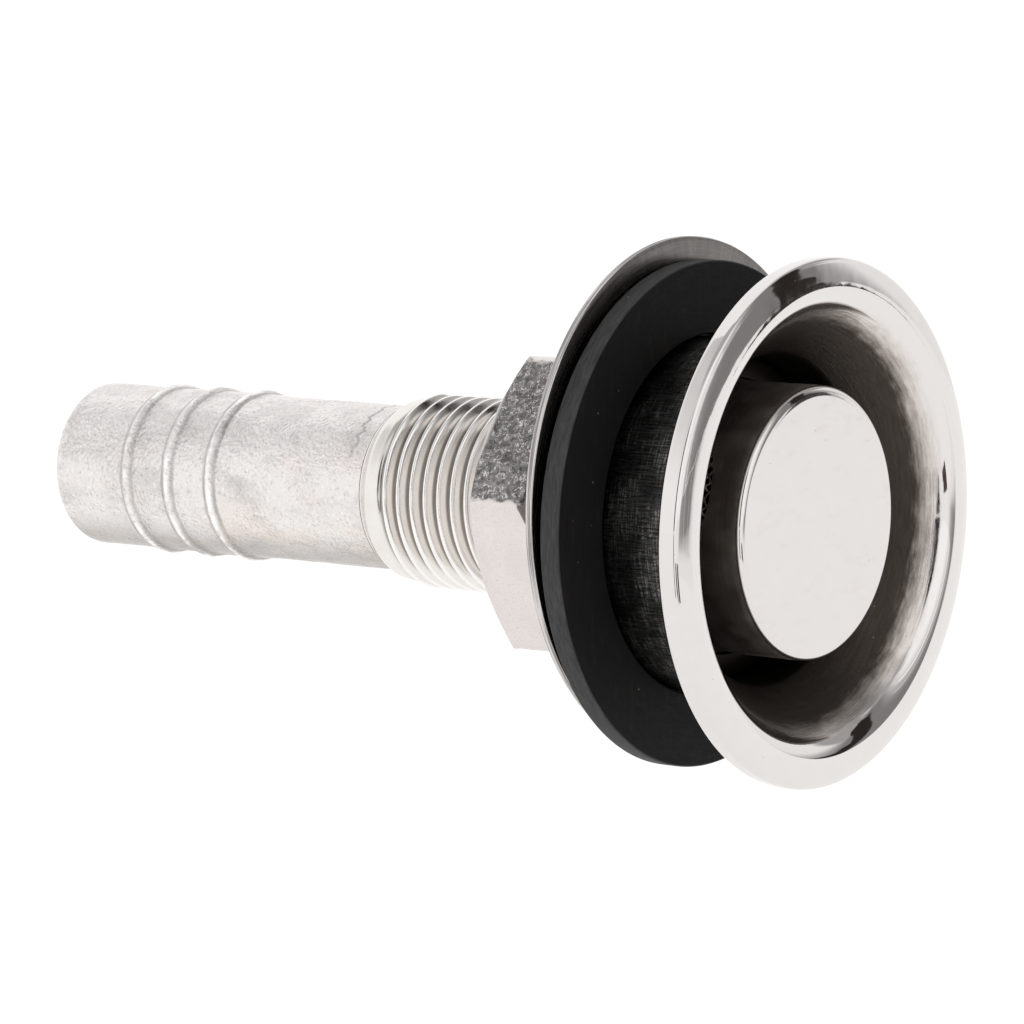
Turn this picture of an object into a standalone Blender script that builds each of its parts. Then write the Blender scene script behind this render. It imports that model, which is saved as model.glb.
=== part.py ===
"""Flush-mount vent thru-hull fitting, in stainless steel and rubber.

The fitting's axis is X. The flange faces +X, outboard, and the hose tail points to -X, inboard.
The origin is the centre of the hull hole, on the back face of the flange, where it seats on the
hull. +Z is up. Lengths are in metres.
"""

import math

import bmesh
import bpy
from mathutils import Matrix, Vector

MM = 0.001
GAP = 0.3 * MM  # clearance between pieces that touch on the real fitting
SMOOTH_ANGLE = 35.0  # edges sharper than this many degrees stay crisp
THREAD_SMOOTH_ANGLE = 30.0
ARC_STEPS = 4
LIP_STEPS = 6
LARGE_RING_SEGMENTS = 56
CAP_SEGMENTS = 48
SMALL_RING_SEGMENTS = 40
CUTTER_MARGIN = 1.0 * MM  # how far a cutting shape runs past what it cuts

# Flange and cup
FLANGE_RADIUS = 27.15 * MM
RIM_BACK_ROUND = 0.9 * MM
RIM_FRONT_ROUND = 0.6 * MM
RIM_FRONT_X = 1.85 * MM  # where the rim's straight side meets its front rounding
DOME_RADIUS = 7.6 * MM  # the front face is a shallow dome between the rim and the crest
DOME_ANGLE = 20.0  # degrees that its outer edge leans out
CREST_RADIUS = 24.25 * MM
LIP_ROUND = 2.4 * MM
RECESS_ANGLE = 52.0  # degrees between the recess's cone and the front face
RECESS_RADIUS = 17.0 * MM
NECK_ROOT_RADIUS = 22.7 * MM  # the cone behind the flange, where it meets the seat
NECK_LENGTH = 5.5 * MM
CUP_RADIUS = 18.4 * MM
CUP_REAR_X = -14.9 * MM
CUP_FLOOR = 1.5 * MM
CUP_EDGE = 0.5 * MM

# Stem, tube and hose tail
STEM_HOLE_RADIUS = 10.8 * MM  # hole in the cup's floor
BORE_RADIUS = 6.75 * MM
HEAD_RADIUS = 16.7 * MM
HEAD_THICKNESS = 2.5 * MM
SEAL_THICKNESS = 0.7 * MM
SEAL_INSET = 0.3 * MM  # the seal stays this far inside the faces it's pressed between
SEAL_EDGE = 0.1 * MM
SHANK_RADIUS = 10.4 * MM
TUBE_RADIUS = 8.96 * MM
TAIL_RADIUS = 9.12 * MM
TAIL_END_X = -95.9 * MM
TUBE_TO_THREAD_X = -51.5 * MM
BARB_XS = (-84.9 * MM, -78.85 * MM, -72.75 * MM)
BARB_HEIGHT = 0.34 * MM
BARB_TOP_WIDTH = 0.5 * MM
BARB_RISE_LENGTH = 1.2 * MM  # from the barb's middle to its gentle side's foot
BARB_FALL_LENGTH = 0.8 * MM
TAIL_END_ROUND = 0.9 * MM
BORE_END_CHAMFER = 0.5 * MM
BORE_HEAD_CHAMFER = 0.6 * MM
RUN_IN_LENGTH = 1.7 * MM
THREAD_RELIEF = 0.3 * MM  # plain length between the thread's upper end and the shank

# G 1/2 pipe thread: 14 threads per inch, right-handed
PITCH = 25.4 / 14.0 * MM
THREAD_RADIUS = 20.955 / 2.0 * MM
THREAD_DEPTH = 1.162 * MM
THREAD_START_X = -49.0 * MM
THREAD_END_X = -17.0 * MM
THREAD_SEGMENTS = 32
THREAD_FADE_TURNS = 0.8
THREAD_OUTLINE = ((0.0, 0.0), (0.42, 1.0), (0.58, 1.0))  # part of the pitch, and 0 root or 1 crest
RUN_IN_RADIUS = 9.9 * MM

# Vent cap and screen
CAP_FACE_X = 1.3 * MM
CAP_RADIUS = 14.08 * MM
CAP_EDGE_ROUND = 0.7 * MM
CAP_FACE_THICKNESS = 2.4 * MM
SKIRT_THICKNESS = 1.6 * MM
SKIRT_SEAT_DEPTH = 1.0 * MM  # how far the skirt sits down in the head's groove
PORT_COUNT = 3
PORT_RADIUS = 8.9 * MM
PORT_CUT_LENGTH = 12.0 * MM
PORT_CENTRE_X = -11.8 * MM
FIRST_PORT_ANGLE = math.radians(163.0)
SCREEN_THICKNESS = 0.5 * MM
SCREEN_EDGE = 0.05 * MM
RING_WIDTH = 1.2 * MM
RING_THICKNESS = 0.8 * MM
RING_OPENING = 3.0 * MM
RING_EDGE = 0.1 * MM

# Pieces that clamp the hull
GASKET_FRONT_X = -12.3 * MM
GASKET_THICKNESS = 2.3 * MM
GASKET_RADIUS = 26.3 * MM
GASKET_EDGE = 0.15 * MM
WASHER_FRONT_X = -15.3 * MM
WASHER_THICKNESS = 0.8 * MM
WASHER_RADIUS = 26.7 * MM
WASHER_HOLE_RADIUS = 12.8 * MM
WASHER_EDGE = 0.12 * MM
WASHER_LIFT = 1.95 * MM  # the loose washer sits off the axis by this much
NUT_FRONT_X = -22.6 * MM
NUT_THICKNESS = 9.0 * MM
NUT_ACROSS_FLATS = 30.6 * MM
NUT_CORNER_ANGLE = math.radians(175.0)
NUT_BORE_CLEARANCE = 0.25 * MM
NUT_COUNTERSINK = 0.5 * MM
NUT_FACE_INSET = 0.3 * MM  # how far the round end faces stay inside the flats
NUT_CHAMFER_ANGLE = 30.0
NUT_FADE_TURNS = 1.9

# Faces that follow from the sizes above
CUP_FLOOR_X = CUP_REAR_X + CUP_FLOOR
HEAD_REAR_X = CUP_FLOOR_X + SEAL_THICKNESS + 2.0 * GAP
HEAD_FRONT_X = HEAD_REAR_X + HEAD_THICKNESS
SKIRT_REAR_X = HEAD_FRONT_X - SKIRT_SEAT_DEPTH + GAP
SKIRT_INNER_RADIUS = CAP_RADIUS - SKIRT_THICKNESS
ROOT_RADIUS = THREAD_RADIUS - THREAD_DEPTH


def clear_scene():
    """Removes every object that's there at the start."""
    for obj in list(bpy.data.objects):
        bpy.data.objects.remove(obj, do_unlink=True)


def metal(name, colour, roughness, metallic=1.0):
    """A Principled material, a bare metal unless metallic says otherwise."""
    material = bpy.data.materials.new(name)
    material.use_nodes = True
    shader = material.node_tree.nodes["Principled BSDF"]
    shader.inputs["Base Color"].default_value = (*colour, 1.0)
    shader.inputs["Roughness"].default_value = roughness
    shader.inputs["Metallic"].default_value = metallic
    return material


def arc(centre_x, centre_r, radius, start, end, steps):
    """Points (x, radius) along an arc; 0 degrees points to +X and 90 away from the axis."""
    points = []
    for i in range(steps + 1):
        angle = math.radians(start + (end - start) * i / steps)
        points.append((centre_x + radius * math.cos(angle), centre_r + radius * math.sin(angle)))
    return points


def ring_of_vertices(bm, x, radius, segments):
    """Vertices in a circle around the X axis."""
    ring = []
    for j in range(segments):
        angle = 2.0 * math.pi * j / segments
        ring.append(bm.verts.new((x, radius * math.cos(angle), radius * math.sin(angle))))
    return ring


def join_rings(bm, first, second):
    """Faces between two circles of vertices."""
    count = len(first)
    for j in range(count):
        k = (j + 1) % count
        bm.faces.new((first[j], first[k], second[k], second[j]))


def join_chain(bm, rings):
    """Faces between each circle of vertices and the next."""
    for first, second in zip(rings, rings[1:]):
        join_rings(bm, first, second)


def finish(bm, name, material, smooth_below=SMOOTH_ANGLE):
    """Makes an object of the mesh, with its faces pointing out and its round sides smooth."""
    bmesh.ops.recalc_face_normals(bm, faces=bm.faces)
    mesh = bpy.data.meshes.new(name)
    bm.to_mesh(mesh)
    bm.free()
    mesh.materials.append(material)
    mesh.shade_smooth()
    mesh.set_sharp_from_angle(angle=math.radians(smooth_below))
    obj = bpy.data.objects.new(name, mesh)
    bpy.context.scene.collection.objects.link(obj)
    return obj


def turned_ring(name, profile, segments, material):
    """A piece with a hole through it, turned about the X axis from a closed loop of (x, radius)."""
    bm = bmesh.new()
    rings = [ring_of_vertices(bm, x, radius, segments) for x, radius in profile]
    join_chain(bm, rings + rings[:1])
    return finish(bm, name, material)


def turned_solid(name, profile, segments, material):
    """A piece turned about the X axis, closed by a flat face at each end of the profile."""
    bm = bmesh.new()
    rings = [ring_of_vertices(bm, x, radius, segments) for x, radius in profile]
    join_chain(bm, rings)
    bm.faces.new(rings[0])
    bm.faces.new(rings[-1])
    return finish(bm, name, material)


def flat_ring_profile(front_x, rear_x, inner, outer, edge):
    """A plain ring's loop of points, with its outer and inner edges broken by a small chamfer."""
    return [
        (front_x, inner + edge),
        (front_x, outer - edge),
        (front_x - edge, outer),
        (rear_x + edge, outer),
        (rear_x, outer - edge),
        (rear_x, inner + edge),
        (rear_x + edge, inner),
        (front_x - edge, inner),
    ]


def cut(obj, cutter, operation="DIFFERENCE"):
    """Applies the cutter to the object and removes the cutter."""
    modifier = obj.modifiers.new("cut", "BOOLEAN")
    modifier.operation = operation
    modifier.solver = "EXACT"
    modifier.object = cutter
    graph = bpy.context.evaluated_depsgraph_get()
    mesh = bpy.data.meshes.new_from_object(obj.evaluated_get(graph))
    obj.modifiers.clear()
    obj.data = mesh
    bpy.data.objects.remove(cutter, do_unlink=True)
    mesh.shade_smooth()
    mesh.set_sharp_from_angle(angle=math.radians(SMOOTH_ANGLE))


def cylinder_cutter(centre, direction, radius, length):
    """A cylinder around centre that runs along direction, for cutting a port."""
    bm = bmesh.new()
    bmesh.ops.create_cone(
        bm,
        cap_ends=True,
        segments=CAP_SEGMENTS,
        radius1=radius,
        radius2=radius,
        depth=length,
    )
    turn = direction.to_track_quat("Z", "Y").to_matrix().to_4x4()
    bm.transform(Matrix.Translation(centre) @ turn)
    return finish(bm, "cutter", None)


def helix_rows(bm, start_x, turns, end_radius, fade_turns, clearance):
    """The vertices of a right-handed thread, in rows that run along the axis.

    A row's points move by one pitch in each turn, so the last row meets the first one again, one
    pitch further on. The thread grows out of end_radius, and back into it, over fade_turns.
    """
    per_pitch = len(THREAD_OUTLINE)
    steps = per_pitch * turns
    length = PITCH * (turns + 1.0)
    rows = []
    for j in range(THREAD_SEGMENTS):
        angle = 2.0 * math.pi * j / THREAD_SEGMENTS
        row = []
        for i in range(steps + 1 + (per_pitch if j == 0 else 0)):
            part, level = THREAD_OUTLINE[i % per_pitch]
            along = PITCH * (i // per_pitch + part + j / THREAD_SEGMENTS)
            fade = min(along, length - along) / (PITCH * fade_turns)
            fade = min(1.0, max(0.0, fade))
            full = ROOT_RADIUS + THREAD_DEPTH * level + clearance
            radius = end_radius + (full - end_radius) * fade
            row.append(
                bm.verts.new((start_x + along, radius * math.cos(angle), radius * math.sin(angle)))
            )
        rows.append(row)
    return rows


def thread_between(bm, first_ring, last_ring, start_x, turns, end_radius, fade_turns, clearance):
    """Joins two rings by a helical thread. The thread starts and ends as a plain cylinder."""
    rows = helix_rows(bm, start_x, turns, end_radius, fade_turns, clearance)
    per_pitch = len(THREAD_OUTLINE)
    steps = per_pitch * turns
    last = THREAD_SEGMENTS - 1

    def point(i, j):
        return rows[j][i] if j <= last else rows[0][i + per_pitch]

    for i in range(steps):
        for j in range(THREAD_SEGMENTS):
            bm.faces.new((point(i, j), point(i + 1, j), point(i + 1, j + 1), point(i, j + 1)))
    for j in range(last):
        bm.faces.new((first_ring[j], point(0, j), point(0, j + 1), first_ring[j + 1]))
    for j in range(1, THREAD_SEGMENTS):
        following = last_ring[(j + 1) % THREAD_SEGMENTS]
        bm.faces.new((point(steps, j), last_ring[j], following, point(steps, j + 1)))
    # The step of one pitch at each end is closed by a fan of triangles.
    fan(bm, first_ring[last], [first_ring[0]] + rows[0][: per_pitch + 1] + [rows[last][0]])
    fan(bm, rows[1][steps], [last_ring[1], last_ring[0]] + rows[0][steps : steps + per_pitch + 1][::-1])


def fan(bm, corner, points):
    """Triangles from one corner to each pair of neighbouring points."""
    for first, second in zip(points, points[1:]):
        bm.faces.new((corner, first, second))


def flange_front_profile():
    """The flange's outline from its seat, over the rim and the crest, to the end of the lip."""
    back_r = FLANGE_RADIUS - RIM_BACK_ROUND
    front_r = FLANGE_RADIUS - RIM_FRONT_ROUND
    lean = math.radians(DOME_ANGLE)
    crest_x = RIM_FRONT_X + RIM_FRONT_ROUND * math.cos(lean) + DOME_RADIUS * (1.0 - math.cos(lean))
    dome_x = crest_x - DOME_RADIUS
    lip_x = crest_x - LIP_ROUND
    points = [(0.0, NECK_ROOT_RADIUS)]
    points += arc(RIM_BACK_ROUND, back_r, RIM_BACK_ROUND, 180.0, 90.0, ARC_STEPS)
    points += arc(RIM_FRONT_X, front_r, RIM_FRONT_ROUND, 90.0, DOME_ANGLE, ARC_STEPS)
    points += arc(dome_x, CREST_RADIUS, DOME_RADIUS, DOME_ANGLE, 0.0, ARC_STEPS)[1:]
    points += arc(lip_x, CREST_RADIUS, LIP_ROUND, 0.0, -RECESS_ANGLE, LIP_STEPS)[1:]
    return points


def make_flange_cup(material):
    """Polished flange, conical recess and the cup that passes through the hull."""
    profile = flange_front_profile()
    lip_x, lip_r = profile[-1]
    cone_length = (lip_r - RECESS_RADIUS) * math.tan(math.radians(RECESS_ANGLE))
    profile += [
        (lip_x - cone_length, RECESS_RADIUS),
        (CUP_FLOOR_X, RECESS_RADIUS),
        (CUP_FLOOR_X, STEM_HOLE_RADIUS),
        (CUP_REAR_X, STEM_HOLE_RADIUS),
        (CUP_REAR_X, CUP_RADIUS - CUP_EDGE),
        (CUP_REAR_X + CUP_EDGE, CUP_RADIUS),
        (-NECK_LENGTH, CUP_RADIUS),
    ]
    return turned_ring("flange_cup", profile, LARGE_RING_SEGMENTS, material)


def tail_profile():
    """The hose tail's outside, from its end to the start of the thread."""
    points = [(TAIL_END_X, BORE_RADIUS + BORE_END_CHAMFER)]
    end_x = TAIL_END_X + TAIL_END_ROUND
    end_r = TAIL_RADIUS - TAIL_END_ROUND
    points += arc(end_x, end_r, TAIL_END_ROUND, 180.0, 90.0, ARC_STEPS)
    for x in BARB_XS:
        points += [
            (x - BARB_RISE_LENGTH, TAIL_RADIUS),
            (x - BARB_TOP_WIDTH / 2.0, TAIL_RADIUS + BARB_HEIGHT),
            (x + BARB_TOP_WIDTH / 2.0, TAIL_RADIUS + BARB_HEIGHT),
            (x + BARB_FALL_LENGTH, TUBE_RADIUS),
        ]
    points += [
        (TUBE_TO_THREAD_X, TUBE_RADIUS),
        (TUBE_TO_THREAD_X + RUN_IN_LENGTH, RUN_IN_RADIUS),
    ]
    return points


def make_tail_stem(material):
    """The bored casting: head, threaded stem, tube and barbed hose tail."""
    turns = int((THREAD_END_X - THREAD_START_X) / PITCH)
    thread_top_x = THREAD_START_X + PITCH * (turns + 1)
    groove_inner = SKIRT_INNER_RADIUS - GAP
    groove_outer = CAP_RADIUS + GAP
    groove_x = HEAD_FRONT_X - SKIRT_SEAT_DEPTH
    head_profile = [
        (thread_top_x + THREAD_RELIEF, SHANK_RADIUS),
        (HEAD_REAR_X, SHANK_RADIUS),
        (HEAD_REAR_X, HEAD_RADIUS),
        (HEAD_FRONT_X, HEAD_RADIUS),
        (HEAD_FRONT_X, groove_outer),
        (groove_x, groove_outer),
        (groove_x, groove_inner),
        (HEAD_FRONT_X, groove_inner),
        (HEAD_FRONT_X, BORE_RADIUS + BORE_HEAD_CHAMFER),
        (HEAD_FRONT_X - BORE_HEAD_CHAMFER, BORE_RADIUS),
        (TAIL_END_X + BORE_END_CHAMFER, BORE_RADIUS),
    ]
    bm = bmesh.new()
    tail = [ring_of_vertices(bm, x, r, THREAD_SEGMENTS) for x, r in tail_profile()]
    head = [ring_of_vertices(bm, x, r, THREAD_SEGMENTS) for x, r in head_profile]
    join_chain(bm, tail)
    thread_between(bm, tail[-1], head[0], THREAD_START_X, turns, RUN_IN_RADIUS, THREAD_FADE_TURNS, 0.0)
    join_chain(bm, head + tail[:1])
    return finish(bm, "tail_stem", material, THREAD_SMOOTH_ANGLE)


def make_cup_seal(material):
    """Flat sealing ring under the stem's head."""
    front_x = CUP_FLOOR_X + SEAL_THICKNESS + GAP
    inner = STEM_HOLE_RADIUS + SEAL_INSET
    outer = HEAD_RADIUS - SEAL_INSET
    profile = flat_ring_profile(front_x, CUP_FLOOR_X + GAP, inner, outer, SEAL_EDGE)
    return turned_ring("cup_seal", profile, SMALL_RING_SEGMENTS, material)


def make_vent_cap(material):
    """Round cap: a polished face on a skirt with three round-topped ports."""
    inside_x = CAP_FACE_X - CAP_FACE_THICKNESS
    edge_x = CAP_FACE_X - CAP_EDGE_ROUND
    edge_r = CAP_RADIUS - CAP_EDGE_ROUND
    profile = arc(edge_x, edge_r, CAP_EDGE_ROUND, 0.0, 90.0, ARC_STEPS) + [
        (SKIRT_REAR_X, CAP_RADIUS),
        (SKIRT_REAR_X, SKIRT_INNER_RADIUS),
        (inside_x, SKIRT_INNER_RADIUS),
    ]
    cap = turned_solid("vent_cap", profile, CAP_SEGMENTS, material)
    for i in range(PORT_COUNT):
        angle = FIRST_PORT_ANGLE + 2.0 * math.pi * i / PORT_COUNT
        outward = Vector((0.0, math.cos(angle), math.sin(angle)))
        middle = Vector((PORT_CENTRE_X, 0.0, 0.0)) + outward * CAP_RADIUS
        cut(cap, cylinder_cutter(middle, outward, PORT_RADIUS, PORT_CUT_LENGTH))
    return cap


def make_flame_screen(material):
    """The woven-wire screen's cylinder, as a thin tube."""
    outer = SKIRT_INNER_RADIUS - GAP
    profile = flat_ring_profile(
        CAP_FACE_X - CAP_FACE_THICKNESS - GAP,
        HEAD_FRONT_X + GAP,
        outer - SCREEN_THICKNESS,
        outer,
        SCREEN_EDGE,
    )
    return turned_ring("flame_screen", profile, SMALL_RING_SEGMENTS, material)


def make_screen_ring(material):
    """Open spring ring inside the screen's rear end."""
    outer = SKIRT_INNER_RADIUS - SCREEN_THICKNESS - 2.0 * GAP
    rear_x = HEAD_FRONT_X + 2.0 * GAP
    front_x = rear_x + RING_WIDTH
    profile = flat_ring_profile(front_x, rear_x, outer - RING_THICKNESS, outer, RING_EDGE)
    ring = turned_ring("screen_ring", profile, SMALL_RING_SEGMENTS, material)
    bm = bmesh.new()
    reach = 2.0 * CUTTER_MARGIN
    size = Matrix.Diagonal((RING_WIDTH + reach, RING_OPENING, RING_THICKNESS + reach, 1.0))
    middle = Vector(((front_x + rear_x) / 2.0, 0.0, RING_THICKNESS / 2.0 - outer))
    bmesh.ops.create_cube(bm, size=1.0, matrix=Matrix.Translation(middle) @ size)
    cut(ring, finish(bm, "cutter", None))
    return ring


def make_hull_gasket(material):
    """Rubber ring that slides on the cup and seals against the hull."""
    rear_x = GASKET_FRONT_X - GASKET_THICKNESS
    inner = CUP_RADIUS + GAP
    profile = flat_ring_profile(GASKET_FRONT_X, rear_x, inner, GASKET_RADIUS, GASKET_EDGE)
    return turned_ring("hull_gasket", profile, LARGE_RING_SEGMENTS, material)


def make_backing_washer(material):
    """Thin steel washer between the gasket and the nut."""
    rear_x = WASHER_FRONT_X - WASHER_THICKNESS
    inner = WASHER_HOLE_RADIUS
    profile = flat_ring_profile(WASHER_FRONT_X, rear_x, inner, WASHER_RADIUS, WASHER_EDGE)
    washer = turned_ring("backing_washer", profile, LARGE_RING_SEGMENTS, material)
    washer.data.transform(Matrix.Translation((0.0, 0.0, WASHER_LIFT)))
    return washer


def chamfered_hexagon(front_x, rear_x, material):
    """A hexagonal bar, with its corners turned down at both ends."""
    corner_radius = NUT_ACROSS_FLATS / math.sqrt(3.0)
    face_radius = NUT_ACROSS_FLATS / 2.0 - NUT_FACE_INSET
    slope = math.tan(math.radians(NUT_CHAMFER_ANGLE))
    beyond = corner_radius + CUTTER_MARGIN
    drop = (beyond - face_radius) * slope
    bm = bmesh.new()
    ends = []
    for x in (front_x, rear_x):
        end = []
        for k in range(6):
            angle = NUT_CORNER_ANGLE + math.pi / 3.0 * k
            corner = (x, corner_radius * math.cos(angle), corner_radius * math.sin(angle))
            end.append(bm.verts.new(corner))
        ends.append(end)
        bm.faces.new(end)
    join_rings(bm, ends[0], ends[1])
    bar = finish(bm, "hex_nut", material)
    profile = [
        (front_x, face_radius),
        (front_x - drop, beyond),
        (rear_x + drop, beyond),
        (rear_x, face_radius),
    ]
    cut(bar, turned_solid("cutter", profile, CAP_SEGMENTS, None), "INTERSECT")
    return bar


def nut_tap():
    """A threaded bar that runs past both faces of the nut, in step with the stem's thread."""
    rear_x = NUT_FRONT_X - NUT_THICKNESS
    pitches = math.floor((rear_x - THREAD_START_X) / PITCH) - 1
    start_x = THREAD_START_X + PITCH * pitches
    turns = math.ceil((NUT_FRONT_X - start_x) / PITCH) + 1
    end_radius = THREAD_RADIUS + NUT_BORE_CLEARANCE + NUT_COUNTERSINK
    end_x = start_x + PITCH * (turns + 1)
    bm = bmesh.new()
    first = ring_of_vertices(bm, start_x - CUTTER_MARGIN, end_radius, THREAD_SEGMENTS)
    last = ring_of_vertices(bm, end_x + CUTTER_MARGIN, end_radius, THREAD_SEGMENTS)
    thread_between(bm, first, last, start_x, turns, end_radius, NUT_FADE_TURNS, NUT_BORE_CLEARANCE)
    bm.faces.new(first)
    bm.faces.new(last)
    return finish(bm, "cutter", None)


def make_hex_nut(material):
    """Hexagon nut on the stem's thread."""
    nut = chamfered_hexagon(NUT_FRONT_X, NUT_FRONT_X - NUT_THICKNESS, material)
    cut(nut, nut_tap())
    return nut


def main():
    """Makes the materials and the nine pieces."""
    clear_scene()
    polished = metal("polished_steel", (0.80, 0.79, 0.78), 0.06)
    cast = metal("cast_steel", (0.74, 0.72, 0.70), 0.38)
    satin = metal("satin_steel", (0.62, 0.60, 0.58), 0.30)
    wire = metal("steel_wire", (0.55, 0.53, 0.50), 0.35)
    rubber = metal("black_rubber", (0.018, 0.018, 0.019), 0.62, 0.0)
    seal = metal("seal_rubber", (0.03, 0.03, 0.032), 0.70, 0.0)

    make_flange_cup(polished)
    make_tail_stem(cast)
    make_cup_seal(seal)
    make_vent_cap(polished)
    make_flame_screen(wire)
    make_screen_ring(wire)
    make_hull_gasket(rubber)
    make_backing_washer(satin)
    make_hex_nut(cast)


main()
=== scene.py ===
"""Looks of a flush-mount vent thru-hull fitting.

It has a polished flange, a screened cap, a threaded stem and a hose tail. The fitting's axis is X,
with the flange outboard at +X, and +Z is up.
"""

import math

import bmesh
import bpy
import numpy as np
from mathutils import Matrix, Vector


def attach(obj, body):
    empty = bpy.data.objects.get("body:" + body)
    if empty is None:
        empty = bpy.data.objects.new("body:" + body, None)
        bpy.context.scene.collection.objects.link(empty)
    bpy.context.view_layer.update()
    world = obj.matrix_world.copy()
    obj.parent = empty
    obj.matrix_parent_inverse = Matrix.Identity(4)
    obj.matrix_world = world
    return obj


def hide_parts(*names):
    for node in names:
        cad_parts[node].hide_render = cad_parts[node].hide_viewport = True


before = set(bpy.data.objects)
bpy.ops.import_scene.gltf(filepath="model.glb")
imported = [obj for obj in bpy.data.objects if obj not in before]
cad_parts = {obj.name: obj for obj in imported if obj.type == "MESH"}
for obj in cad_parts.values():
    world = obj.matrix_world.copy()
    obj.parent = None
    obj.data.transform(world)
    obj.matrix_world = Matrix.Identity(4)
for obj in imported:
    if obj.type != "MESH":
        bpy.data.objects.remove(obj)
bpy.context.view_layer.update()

MM = 0.001
TURN = 2.0 * math.pi

# Lengths are in millimetres and angles in degrees. The main sizes are those of the CAD nodes.

# Flange
FLANGE_RADIUS = 27.15
RIM_BACK_ROUND = 0.9
RIM_FRONT_ROUND = 0.6
RIM_FRONT_X = 1.85
DOME_RADIUS = 7.6
DOME_ANGLE = 20.0
CREST_RADIUS = 24.25
LIP_ROUND = 2.4
LIP_END_ANGLE = 62.0
RECESS_ANGLE = 52.0
RECESS_RADIUS = 17.0
RECESS_WORN_RADII = (21.3, 22.7)  # the mirror polish ends over this range, going in
RECESS_DARK_RADII = (20.4, 21.9)  # and the worn steel turns dark over this one
NECK_ROOT_RADIUS = 22.7
NECK_LENGTH = 5.5
NECK_FILLET = 0.3

# Cup behind the flange
CUP_RADIUS = 18.4
CUP_REAR_X = -14.9
CUP_FLOOR_X = -13.4
CUP_EDGE_ROUND = 0.5
STEM_HOLE_RADIUS = 10.8

# Stem, from its hidden head to the end of the hose tail
HEAD_RADIUS = 16.7
HEAD_REAR_X = -12.1
HEAD_FRONT_X = -9.6
HEAD_BEVEL = 0.2
SKIRT_GROOVE_DEPTH = 1.0
SKIRT_GROOVE_PLAY = 0.3
SHANK_RADIUS = 10.4
BORE_RADIUS = 6.75
BORE_BEVEL = 0.6
TUBE_RADIUS = 8.96
TUBE_END_X = -52.0
TAIL_RADIUS = 9.12
TAIL_END_X = -95.9
TAIL_END_ROUND = 0.9
TAIL_BORE_BEVEL = 0.5
TAIL_TAPER_XS = (-72.5, -68.0)
CAST_SKIN_END_XS = (-53.5, -51.8)
CAST_SKIN_INNER_RADIUS = 8.0
CAST_SKIN = ((0.035, 2.2, 3), (0.022, 0.7, 4))  # height, cell size and seed of each layer
SEAM_X = -52.3  # a dark casting line, just behind the thread's run-in

# Barbs on the hose tail
BARB_XS = (-84.9, -78.85, -72.75)
BARB_HEIGHT = 0.42
BARB_WIDTH = 0.48
BARB_LEAN = 0.1
BARB_GROOVE_OFFSET = 0.95
BARB_GROOVE_DEPTH = 0.05
BARB_GROOVE_WIDTH = 0.35
# The dark line beside each barb is painted shade
BARB_SHADE = 0.62  # from a barb's crown to the dark line beside it

# Thread of stem and nut
PITCH = 25.4 / 14.0
THREAD_RADIUS = 20.955 / 2.0
THREAD_DEPTH = 1.162
ROOT_RADIUS = THREAD_RADIUS - THREAD_DEPTH
THREAD_START_X = -49.0
THREAD_TURNS = 18
THREAD_LENGTH = PITCH * THREAD_TURNS
THREAD_END_X = THREAD_START_X + THREAD_LENGTH
THREAD_FADE = PITCH * 0.8
RUN_IN_XS = (-51.9, -49.8)
RUN_IN_RADIUS = 9.9

# Vent cap
CAP_FACE_X = 1.3
CAP_RADIUS = 14.08
CAP_EDGE_ROUND = 0.7
ROLL_RADIUS = 7.0  # the polishing wheel has rolled the face over, close to its edge
ROLL_ANGLE = 4.0
SKIRT_INNER_RADIUS = 12.48
SKIRT_REAR_X = -10.3
CAP_INSIDE_X = -1.1
PORT_COUNT = 3
PORT_RADIUS = 8.9
PORT_CENTRE_X = -11.8
PORT_CUT_LENGTH = 12.0
FIRST_PORT_ANGLE = 163.0

# Woven screen inside the cap's skirt
SCREEN_RADIUS = SKIRT_INNER_RADIUS - 0.57
SCREEN_END_GAP = 0.3
WIRE_COUNT = 60  # in each of the two directions
WIRE_RADIUS = 0.125
WIRE_SLOPE = 1.05  # mm around the axis for each mm along it
WIRE_STEPS = 44
WIRE_SIDES = 6
WEAVE_HEIGHT = 0.12

# Rubber gasket
GASKET_FRONT_X = -12.3
GASKET_REAR_X = -14.6
GASKET_RADIUS = 26.3
GASKET_HOLE_RADIUS = 18.7
GASKET_EDGE_ROUND = 0.22

# Washer, which sits off the axis, as its hole is wider than the thread
WASHER_FRONT_X = -15.3
WASHER_REAR_X = -16.1
WASHER_RADIUS = 26.7
WASHER_HOLE_RADIUS = 12.8
WASHER_EDGE_ROUND = 0.14
WASHER_LIFT = 1.95

# Nut
NUT_FRONT_X = -22.6
NUT_REAR_X = -31.6
NUT_MIDDLE_X = (NUT_FRONT_X + NUT_REAR_X) / 2.0
NUT_ACROSS_FLATS = 30.6
NUT_CORNER_ANGLE = 175.0
NUT_CORNER_ROUND = 0.34
NUT_CHAMFER_ROUND = 0.05
NUT_CHAMFER_ANGLE = 30.0
NUT_FACE_RADIUS = 15.0
NUT_MOUTH_RADIUS = 12.6
NUT_MOUTH_DEPTH = 0.7
NUT_MOUTH_SLOPE = 1.2
NUT_MOUTH_STEP = 0.6
NUT_THREAD_PLAY = 0.25
NUT_SKIN = ((0.045, 0.5, 11), (0.045, 1.3, 12))
NUT_SKIN_SINK = 0.05
NUT_SKIN_RADIUS = 16.6  # the skin stops short of the corners
NUT_SKIN_ENDS = (3.4, 4.2)  # and of the chamfers, at this distance from the nut's middle
ROUGH_FLATS = (1, 3, 5)


# ---------------------------------------------------------------- meshes


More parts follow.
